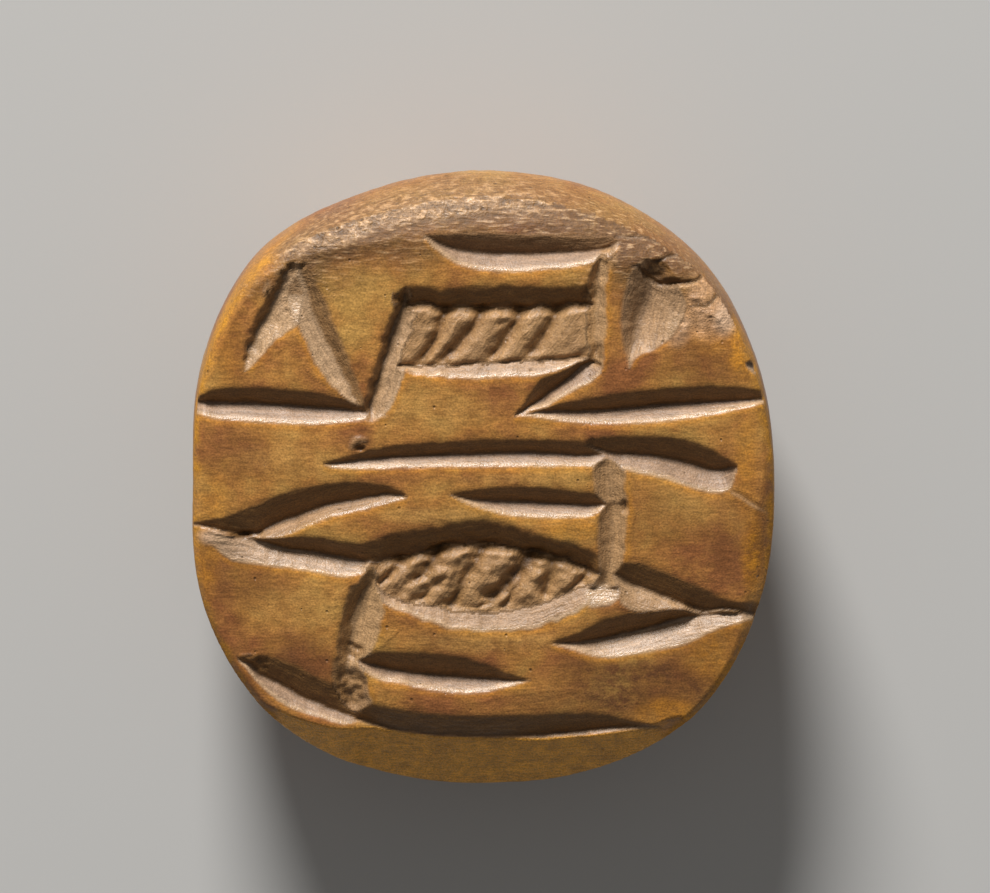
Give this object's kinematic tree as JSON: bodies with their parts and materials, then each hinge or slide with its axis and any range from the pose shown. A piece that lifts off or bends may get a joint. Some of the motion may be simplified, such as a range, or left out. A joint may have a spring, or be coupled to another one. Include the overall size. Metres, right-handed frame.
{
  "type": "seal amulet",
  "caption": "Small rounded disc of polished bone with figures gouged into its flat face, a domed back and a string hole across it.",
  "frame": {"origin": "middle of the flat spot on the crown of the domed back, where the amulet rests", "axes": "+Z out of the carved face, +Y to the top of the carved design, +X to its right, along the string hole"},
  "size_m": [0.0166, 0.0178, 0.0062],
  "materials": {
    "bone": "polished bone, honey brown, matte and paler in the cuts"
  },
  "bodies": {
    "root": {"seal_amulet": "bone"}
  },
  "joints": []
}
